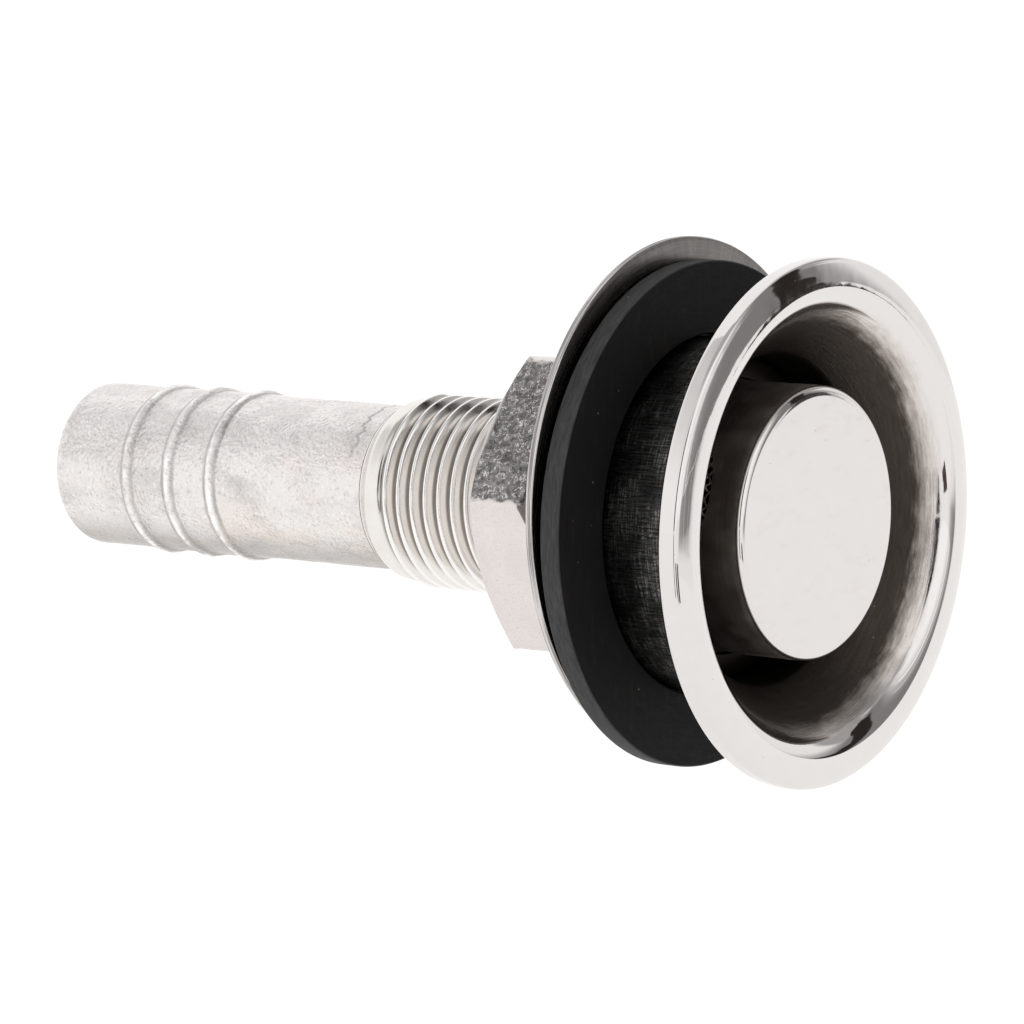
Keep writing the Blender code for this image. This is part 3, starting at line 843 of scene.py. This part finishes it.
@once
def cup_steel():
    """The cup's side: dark, combed along the axis, with painted shade by the gasket, a painted
    reflection band towards the flange, and broken scuff marks in a few rings, lit there as painted
    glints.
    """
    g = Graph("cup_steel")
    turn = g.mul(g.math("ARCTAN2", g.z, g.y), CUP_RADIUS)
    comb = g.noise(g.join(g.mul(g.x, 0.30), g.mul(turn, 5.5), 3.0), 3.0, 0.6)
    rings = g.noise(g.join(g.mul(g.x, 5.0), g.mul(turn, 0.30), 0.0), 3.0, 0.6)
    ticks = g.noise(g.join(g.mul(g.x, 1.1), g.mul(turn, 4.0), 9.0), 2.0, 0.5)
    patch = g.noise(g.stretch(0.22, 0.16, 0.16), 3.0)
    g.bump(comb, 0.03)
    g.bump(rings, 0.02)
    # A painted reflection band towards the flange, fading to painted shade by the gasket
    outer = g.band(g.add(g.x, g.mul(patch, 3.0)), -12.5, -6.5)
    # Turning tracks and scuff marks show only inside that band, the scuff marks as painted glints
    tracks_and_sheen = g.mul(g.band(rings, 0.48, 0.60), outer)
    scuffs_and_glints = g.mul(tracks_and_sheen, g.band(ticks, 0.47, 0.56))
    scuffs_and_glints = g.mul(scuffs_and_glints, g.band(patch, 0.40, 0.54))
    shade = g.mix(outer, (0.026, 0.025, 0.024), (0.10, 0.098, 0.097))
    painted_comb_sheen = g.mix(outer, (0.060, 0.058, 0.056), (0.46, 0.455, 0.45))
    tint = g.mix(g.band(comb, 0.42, 0.64), shade, painted_comb_sheen)
    tint = g.mix(g.mul(tracks_and_sheen, 0.40), tint, (0.42, 0.415, 0.41))
    tint = g.mix(scuffs_and_glints, tint, (1.0, 0.99, 0.98))
    return g.done(tint, g.band(patch, 0.3, 0.7, 0.26, 0.38))


@once
def cast_steel():
    """Bead-blasted casting: fine sparkling grain over soft lumps and cloudy patches."""
    g = Graph("cast_steel")
    cloud = g.noise(g.stretch(0.11, 0.2, 0.2), 5.0, 0.6)
    patch = g.noise(g.stretch(0.45), 4.0, 0.6)
    grain = g.noise(g.stretch(2.5), 4.0, 0.7)
    pits = g.cells(2.4)
    coarse = g.band(cloud, 0.42, 0.62)
    g.bump(patch, 0.10)
    g.bump(g.mul(g.add(grain, pits), g.band(coarse, 0.0, 1.0, 0.35, 1.0)), 0.13)

    # Cloudy steel, with a painted warm reflection underneath, stains, sparkle and painted shade
    # along the belly
    tint = g.mix(cloud, (0.74, 0.72, 0.71), (0.90, 0.885, 0.875))
    under = g.band(g.z, -7.5, 2.0, 1.0, 0.0)
    painted_belly_shade = g.band(g.z, -8.6, -4.0, 1.0, 0.0)
    painted_warm_patches = g.band(g.noise(g.stretch(0.10, 0.16, 0.16), 3.0), 0.42, 0.66)
    tint = g.mix(g.mul(g.mul(painted_warm_patches, under), 0.75), tint, (0.82, 0.72, 0.63))
    blush = g.band(g.noise(g.stretch(0.16, 0.22, 0.22), 3.0), 0.52, 0.70)
    tint = g.mix(g.mul(blush, 0.35), tint, (0.80, 0.70, 0.68))
    stain = g.band(g.noise(g.stretch(0.14, 0.30, 0.30), 4.0, 0.55), 0.48, 0.72)
    tint = g.mix(g.mul(stain, 0.38), tint, (0.44, 0.425, 0.415))
    tint = g.mix(g.mul(g.band(grain, 0.56, 0.68), 0.7), tint, (0.98, 0.97, 0.96))
    tint = g.mix(g.mul(g.band(grain, 0.32, 0.46, 1.0, 0.0), 0.42), tint, (0.34, 0.325, 0.315))
    tint = g.mix(g.mul(painted_belly_shade, 0.80), tint, (0.40, 0.38, 0.365))

    # The casting line on top
    seam = g.add(g.x, g.mul(g.noise(g.stretch(0.1, 0.7, 0.7), 3.0), 3.0))
    seam = g.band(g.apart(seam, SEAM_X), 0.05, 0.30, 1.0, 0.0)
    seam = g.mul(seam, g.band(g.z, 2.0, 7.0))
    tint = g.mix(g.mul(seam, 0.65), tint, (0.30, 0.285, 0.275))

    # Each barb has painted shade in a line on both sides and a painted highlight on its crown,
    # broken up as if worn
    wander = g.mul(g.sub(g.noise(g.stretch(0.2, 0.35, 0.35), 3.0), 0.5), 0.5)

    def lines_at(places, inner, outer):
        """Slightly wavy lines around the tube, fading out from inner to outer mm away."""
        found = None
        for x in places:
            line = g.band(g.apart(g.add(g.x, wander), x), inner, outer, 1.0, 0.0)
            found = line if found is None else g.math("MAXIMUM", found, line)
        return found

    shades = [x + BARB_SHADE for x in BARB_XS] + [x - 1.3 * BARB_SHADE for x in BARB_XS]
    faded = g.band(cloud, 0.35, 0.6, 0.80, 0.40)
    tint = g.mix(g.mul(lines_at(shades, 0.06, 0.34), faded), tint, (0.34, 0.325, 0.315))
    # This only breaks up the painted highlight on the crowns
    worn = g.band(g.noise(g.stretch(0.5), 3.0), 0.36, 0.60, 0.25, 1.0)
    tint = g.mix(g.mul(lines_at(BARB_XS, 0.10, 0.36), worn), tint, (1.0, 1.0, 1.0))
    return g.done(tint, g.band(coarse, 0.0, 1.0, 0.24, 0.34))


@once
def threaded_steel():
    """Machined thread, with a painted highlight on the crests and painted shade along the root."""
    g = Graph("threaded_steel")
    lines = g.noise(g.rings(7.0, 0.06), 3.0)
    patch = g.noise(g.stretch(0.35, 0.5, 0.5), 4.0)
    g.bump(lines, 0.010)
    # Painted highlight on the crests, and painted shade along the root from the thread's start on
    crest = g.band(g.r, THREAD_RADIUS - 0.30, THREAD_RADIUS - 0.05)
    root = g.band(g.r, ROOT_RADIUS + 0.24, ROOT_RADIUS + 0.50, 1.0, 0.0)
    root = g.mul(root, g.band(g.x, THREAD_START_X - 0.4, THREAD_START_X + 1.2))
    tint = g.mix(patch, (0.76, 0.73, 0.70), (0.88, 0.86, 0.83))
    tint = g.mix(crest, tint, (0.93, 0.92, 0.91))
    tint = g.mix(g.mul(root, 0.8), tint, (0.17, 0.15, 0.135))
    return g.done(tint, g.band(patch, 0.3, 0.7, 0.12, 0.22))


@once
def nut_steel():
    """As cast on every other flat inside a smooth border, satin everywhere else."""
    g = Graph("nut_steel")

    # The as-cast area has a ragged edge at the corners and a straighter one at the chamfers
    edge = g.noise(g.stretch(0.9), 4.0)
    rough = None
    for k in ROUGH_FLATS:
        angle = flat_angle(k)
        out = g.dot((0.0, math.cos(angle), math.sin(angle)))
        side = g.math("ABSOLUTE", g.dot((0.0, -math.sin(angle), math.cos(angle))))
        ragged = g.add(side, g.mul(g.sub(edge, 0.5), 1.6))
        part = g.mul(g.band(out, 14.85, 15.05), g.band(ragged, 8.0, 8.35, 1.0, 0.0))
        rough = part if rough is None else g.math("MAXIMUM", rough, part)
    rough = g.mul(rough, g.band(g.apart(g.x, NUT_MIDDLE_X), 3.75, 4.05, 1.0, 0.0))

    grain = g.noise(g.stretch(1.5), 5.0, 0.65)
    pits = g.cells(1.3)
    lumps = g.noise(g.stretch(0.6), 3.0)
    fine = g.noise(g.stretch(5.0), 3.0)
    relief = g.add(g.add(grain, pits), lumps)
    g.bump(g.mul(relief, rough), 0.60)
    g.bump(g.mul(fine, g.sub(1.0, rough)), 0.020)
    soft = g.noise(g.stretch(0.3), 4.0)
    smooth = g.mix(soft, (0.68, 0.635, 0.62), (0.80, 0.765, 0.755))
    smooth = g.mix(g.band(fine, 0.52, 0.70, 0.0, 0.35), smooth, (0.50, 0.47, 0.46))

    # Leathery: painted shade in curling hollows, with painted highlights on the rims beside them
    curl = g.noise(g.stretch(1.25), 2.5, 0.55)
    painted_rim_highlights = g.band(g.apart(curl, 0.5), 0.006, 0.034, 1.0, 0.0)
    painted_rim_highlights = g.mul(painted_rim_highlights, g.band(grain, 0.40, 0.56))
    painted_hollow_shade = g.band(g.apart(curl, 0.45), 0.006, 0.04, 1.0, 0.0)
    cast = g.mix(g.band(grain, 0.34, 0.66), (0.17, 0.167, 0.163), (0.40, 0.39, 0.385))
    cast = g.mix(g.mul(painted_hollow_shade, 0.55), cast, (0.07, 0.068, 0.066))
    cast = g.mix(g.mul(painted_rim_highlights, 0.85), cast, (0.90, 0.89, 0.88))

    # Painted shade inside the threaded bore
    bore = g.band(g.r, 11.2, 12.0, 1.0, 0.0)
    tint = g.mix(rough, smooth, cast)
    tint = g.mix(g.mul(bore, 0.6), tint, (0.25, 0.22, 0.2))
    return g.done(tint, g.band(rough, 0.0, 1.0, 0.24, 0.22))


@once
def satin_steel():
    """Sheet steel with fine turned rings and faint spokes."""
    g = Graph("satin_steel")
    rings = g.noise(g.rings(5.0, 0.10), 3.0)
    spokes = g.noise(g.spokes(34.0, 0.22), 4.0)
    cloud = g.noise(g.stretch(0.2), 4.0)
    g.bump(rings, 0.010)
    g.bump(spokes, 0.025)
    tint = g.mix(spokes, (0.17, 0.163, 0.158), (0.36, 0.345, 0.335))
    tint = g.mix(g.mul(cloud, 0.35), tint, (0.14, 0.13, 0.125))
    out = g.length(g.y, g.sub(g.z, WASHER_LIFT))
    rim = g.band(out, WASHER_RADIUS - 0.16, WASHER_RADIUS - 0.06)
    groove = g.band(g.noise(g.stretch(9.0, 0.1, 0.1), 2.0), 0.42, 0.58)
    tint = g.mix(rim, tint, g.mix(groove, (0.26, 0.25, 0.245), (0.72, 0.70, 0.69)))
    return g.done(tint, g.band(rings, 0.3, 0.7, 0.24, 0.36))


@once
def wire_steel():
    """Drawn wire, slightly tarnished."""
    g = Graph("wire_steel", metallic=0.55)
    patch = g.noise(g.stretch(0.8), 3.0)
    g.bump(g.noise(g.stretch(8.0), 2.0), 0.01)
    tint = g.mix(patch, (0.72, 0.67, 0.62), (0.96, 0.93, 0.90))
    return g.done(tint, g.band(patch, 0.3, 0.7, 0.40, 0.52))


def rubber(name, shade, side=None):
    """Moulded rubber with faint brown streaks and dust, and a painted sheen, broken up by scuffs,
    on a side of that radius.
    """
    g = Graph(name, metallic=0.0)
    streak = g.noise(g.stretch(0.25, 1.2, 0.25), 5.0)
    scuff = g.noise(g.rings(4.0, 0.5), 5.0, 0.7)
    grain = g.noise(g.stretch(5.0), 3.0)
    dust = g.specks(0.42, 0.065)
    g.bump(grain, 0.012)
    g.bump(scuff, 0.008)
    base = (shade, shade, shade * 1.04)
    brown = (shade * 1.7, shade * 1.45, shade * 1.3)
    tint = g.mix(g.band(streak, 0.5, 0.8), base, brown)
    if side is not None:
        # Painted sheen on the outer side, broken up by the scuffs
        worn = g.mul(g.band(g.r, side - 0.25, side - 0.05), g.band(scuff, 0.2, 0.8, 0.35, 1.0))
        tint = g.mix(worn, tint, (0.078, 0.078, 0.080))
    tint = g.mix(g.mul(dust, 0.45), tint, (0.5, 0.48, 0.46))
    g.shader.inputs["Specular IOR Level"].default_value = 0.06
    return g.done(tint, g.band(scuff, 0.3, 0.7, 0.46, 0.62))


@once
def black_rubber():
    return rubber("black_rubber", 0.0120, side=GASKET_RADIUS)


@once
def seal_rubber():
    return rubber("seal_rubber", 0.02)


# ---------------------------------------------------------------- assembly


def place(piece, body, slot_name, *nodes):
    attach(piece, body)
    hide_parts(*nodes)


place(make_flange(), "fitting", "polished_steel", "flange_cup")
place(make_stem(), "fitting", "cast_steel", "tail_stem")
place(make_cap(), "fitting", "polished_steel", "vent_cap")
place(make_screen(), "fitting", "steel_wire", "flame_screen")
place(make_gasket(), "gasket", "black_rubber", "hull_gasket")
place(make_washer(), "washer", "satin_steel", "backing_washer")
place(make_nut(), "nut", "cast_steel", "hex_nut")
for node, material in (("cup_seal", seal_rubber()), ("screen_ring", wire_steel())):
    cad_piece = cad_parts[node]
    cad_piece.data.materials.clear()
    cad_piece.data.materials.append(material)


# ---------------------------------------------------------------- studio

# The polished steel mirrors all of this. Lengths are in metres. Azimuths and elevations are in
# degrees, seen from the fitting, and azimuth 0 is outboard, along +X.

FLOOR_Z = -0.060
FLOOR_COLOUR = (0.35, 0.35, 0.35)
FLOOR_GLOW = 0.78
TENT_RADIUS = 6.0
TENT_LEAN = 93.0  # from straight up to its lower edge, which is just under the horizon
WARM_WHITE = (1.0, 0.985, 0.975)

# A black flag at the far right. Its corners are directions, seen from the top of the flange.
FLAG_DISTANCE = 0.62
FLAG_EYE_Z = 0.024
FLAG_CORNERS = (
    (54.0, -5.4),
    (57.8, -5.4),
    (56.8, -1.0),
    (54.8, 1.5),
    (54.2, 7.0),
    (53.0, 9.5),
    (51.6, 10.5),
    (51.2, 18.0),
    (52.5, 27.0),
    (57.0, 33.0),
    (61.0, 40.0),
    (62.0, 54.0),
    (46.0, 54.0),
    (43.0, 42.0),
    (41.5, 28.0),
    (43.0, 18.0),
    (45.5, 11.0),
    (48.0, 6.0),
    (51.0, 1.0),
    (53.0, -3.0),
)


def matt(name, colour, glow):
    """A matt material, which also gives off light when glow is above zero."""
    material = bpy.data.materials.new(name)
    material.use_nodes = True
    shader = material.node_tree.nodes["Principled BSDF"]
    shader.inputs["Base Color"].default_value = (*colour, 1.0)
    shader.inputs["Roughness"].default_value = 0.9
    shader.inputs["Specular IOR Level"].default_value = 0.0
    shader.inputs["Emission Color"].default_value = (*WARM_WHITE, 1.0)
    shader.inputs["Emission Strength"].default_value = glow
    material.cycles.emission_sampling = "NONE"
    return material


def far_floor_material():
    """The floor beyond the fitting, falling softly into shade towards the right."""
    g = Graph("far_floor", metallic=0.0)
    azimuth = g.degrees(g.y, g.x)
    reach = g.length(g.x, g.y)
    near, far = (-FLOOR_Z / MM / math.tan(math.radians(below)) for below in (9.5, 5.5))
    mask = g.mul(g.band(azimuth, -6.0, 12.0), g.band(azimuth, 34.0, 43.0, 1.0, 0.0))
    mask = g.mul(mask, g.band(reach, near, far))
    streak = g.noise(g.join(g.mul(azimuth, 0.35), 0.0, 0.0), 3.0, 0.6)
    streak = g.band(streak, 0.54, 0.70, 0.0, 0.5)
    shade = g.add(g.band(azimuth, 0.0, 32.0, 0.55, 0.26), streak)
    light = g.add(g.mul(mask, g.sub(shade, 1.0)), 1.0)
    return g.done_glowing(WARM_WHITE, light)


def tent_material():
    """A white tent: brightest in front, greyer overhead, and shaded towards the right."""
    g = Graph("tent_cloth", metallic=0.0)
    azimuth = g.degrees(g.y, g.x)
    elevation = g.degrees(g.z, g.length(g.x, g.y))

    def window(value, low, high, soft_low, soft_high):
        """1 from low to high and 0 outside, with edges that are soft by so many degrees."""
        return g.mul(
            g.band(value, low - soft_low, low + soft_low),
            g.band(value, high - soft_high, high + soft_high, 1.0, 0.0),
        )

    def patch(azimuths, elevations, azimuth_soft, elevation_soft):
        return g.mul(
            window(azimuth, *azimuths, *azimuth_soft),
            window(elevation, *elevations, *elevation_soft),
        )

    light = g.mul(1.08, g.band(elevation, 12.0, 50.0, 1.0, 0.72))
    light = g.mul(light, g.band(elevation, 50.0, 66.0, 1.0, 0.62))
    light = g.cover(light, patch((-42.0, 60.0), (-2.0, 58.0), (4.0, 2.0), (1.0, 8.0)), 1.16)

    # Shade that deepens towards the flag
    shade = g.band(azimuth, -6.0, 36.0, 1.1, 0.25)
    light = g.cover(light, patch((-4.0, 64.0), (-8.0, 66.0), (4.0, 4.0), (1.0, 5.0)), shade)

    # Bright again beyond the flag, except high up
    right = g.add(g.band(azimuth, 55.0, 66.0, 0.36, 0.98), g.band(azimuth, 92.0, 112.0, 0.0, 0.1))
    light = g.cover(light, g.band(azimuth, 54.0, 57.0), right)
    dim = g.mul(g.band(azimuth, 56.0, 60.0), g.band(azimuth, 80.0, 100.0, 1.0, 0.0))
    dim = g.mul(dim, window(elevation, 28.0, 64.0, 3.0, 6.0))
    light = g.cover(light, dim, 0.42)

    # Two narrow bright strips in the shade, and a black one on the camera's side
    light = g.cover(light, patch((12.0, 14.5), (-8.0, 48.0), (0.6, 0.6), (1.0, 8.0)), 1.2)
    light = g.cover(light, patch((22.5, 23.6), (-8.0, 40.0), (0.4, 0.4), (1.0, 8.0)), 0.95)
    light = g.cover(light, patch((-64.0, -48.0), (-8.0, 40.0), (3.0, 1.5), (1.0, 8.0)), 0.05)
    return g.done_glowing((1.0, 0.985, 0.98), light)


def stage_piece(name, verts, faces, material):
    mesh = bpy.data.meshes.new(name)
    mesh.from_pydata(verts, [], faces)
    mesh.materials.append(material)
    obj = bpy.data.objects.new(name, mesh)
    bpy.context.scene.collection.objects.link(obj)
    return obj


def card(name, corners, material):
    return stage_piece(name, corners, [tuple(range(len(corners)))], material)


def reflected_only(obj):
    """Keeps a card out of sight, so that it shades the polished steel but not the floor."""
    obj.visible_camera = False
    obj.visible_diffuse = False
    obj.visible_transmission = False
    obj.visible_shadow = False


def floor_card(name, azimuths, elevations, material):
    """A card just above the floor that covers these directions, seen only in reflections."""

    def corner(azimuth, elevation):
        reach = -FLOOR_Z / math.tan(math.radians(-elevation))
        turn = math.radians(azimuth)
        return (reach * math.cos(turn), reach * math.sin(turn), FLOOR_Z + 0.001)

    left, right = azimuths
    near, far = elevations
    corners = [corner(*c) for c in ((left, near), (right, near), (right, far), (left, far))]
    reflected_only(card(name, corners, material))


def flag_corner(azimuth, elevation):
    turn = math.radians(azimuth)
    height = FLAG_EYE_Z + FLAG_DISTANCE * math.tan(math.radians(elevation))
    return (FLAG_DISTANCE * math.cos(turn), FLAG_DISTANCE * math.sin(turn), height)


def make_tent():
    """A dome around everything."""
    rows, around = 48, 96
    verts = [(0.0, 0.0, TENT_RADIUS)]
    for i in range(1, rows + 1):
        lean = math.radians(TENT_LEAN) * i / rows
        wide = TENT_RADIUS * math.sin(lean)
        high = TENT_RADIUS * math.cos(lean)
        turns = [TURN * j / around for j in range(around)]
        verts += [(wide * math.cos(turn), wide * math.sin(turn), high) for turn in turns]
    faces = [(0, 1 + (j + 1) % around, 1 + j) for j in range(around)]
    for i in range(rows - 1):
        a = 1 + i * around
        for j in range(around):
            k = (j + 1) % around
            faces.append((a + j, a + k, a + around + k, a + around + j))
    stage_piece("tent", verts, faces, tent_material())


make_tent()
floor_white = matt("floor_white", FLOOR_COLOUR, FLOOR_GLOW)
square = ((-1.0, -1.0), (1.0, -1.0), (1.0, 1.0), (-1.0, 1.0))
card("floor", [(x * TENT_RADIUS, y * TENT_RADIUS, FLOOR_Z) for x, y in square], floor_white)
dark = matt("card_dark", (0.03, 0.025, 0.022), 0.0)
umber = matt("card_umber", (0.10, 0.08, 0.07), 0.0)
floor_card("card_front", (-28.0, -9.0), (-19.0, -10.5), umber)
floor_card("card_camera", (-60.0, -51.0), (-22.0, -2.0), dark)
floor_card("far_floor", (-8.0, 44.0), (-10.0, -0.7), far_floor_material())
reflected_only(card("flag", [flag_corner(*corner) for corner in FLAG_CORNERS], dark))

world = bpy.data.worlds.new("studio")
bpy.context.scene.world = world
world.use_nodes = True
background = world.node_tree.nodes["Background"]
background.inputs["Color"].default_value = (1.0, 0.99, 0.985, 1.0)
background.inputs["Strength"].default_value = 0.9


# ---------------------------------------------------------------- camera

# Its place in metres, its aim and its lens were fitted to the photograph's outlines
CAMERA_PLACE = (0.25737, -0.389996, 0.055938)
CAMERA_AIM = (-0.59952, 0.79179, -0.11683)
CAMERA_LENS = 161.99

camera_data = bpy.data.cameras.new("camera")
camera_data.sensor_width = 36.0
camera_data.lens = CAMERA_LENS
camera_data.clip_end = 50.0
camera = bpy.data.objects.new("camera", camera_data)
camera.location = CAMERA_PLACE
forward = Vector(CAMERA_AIM).normalized()
right = forward.cross(Vector((0.0, 0.0, 1.0))).normalized()
up = right.cross(forward)
camera.rotation_euler = Matrix((right, up, -forward)).transposed().to_euler()
bpy.context.scene.collection.objects.link(camera)
bpy.context.scene.camera = camera
bpy.context.scene.view_settings.view_transform = "Standard"
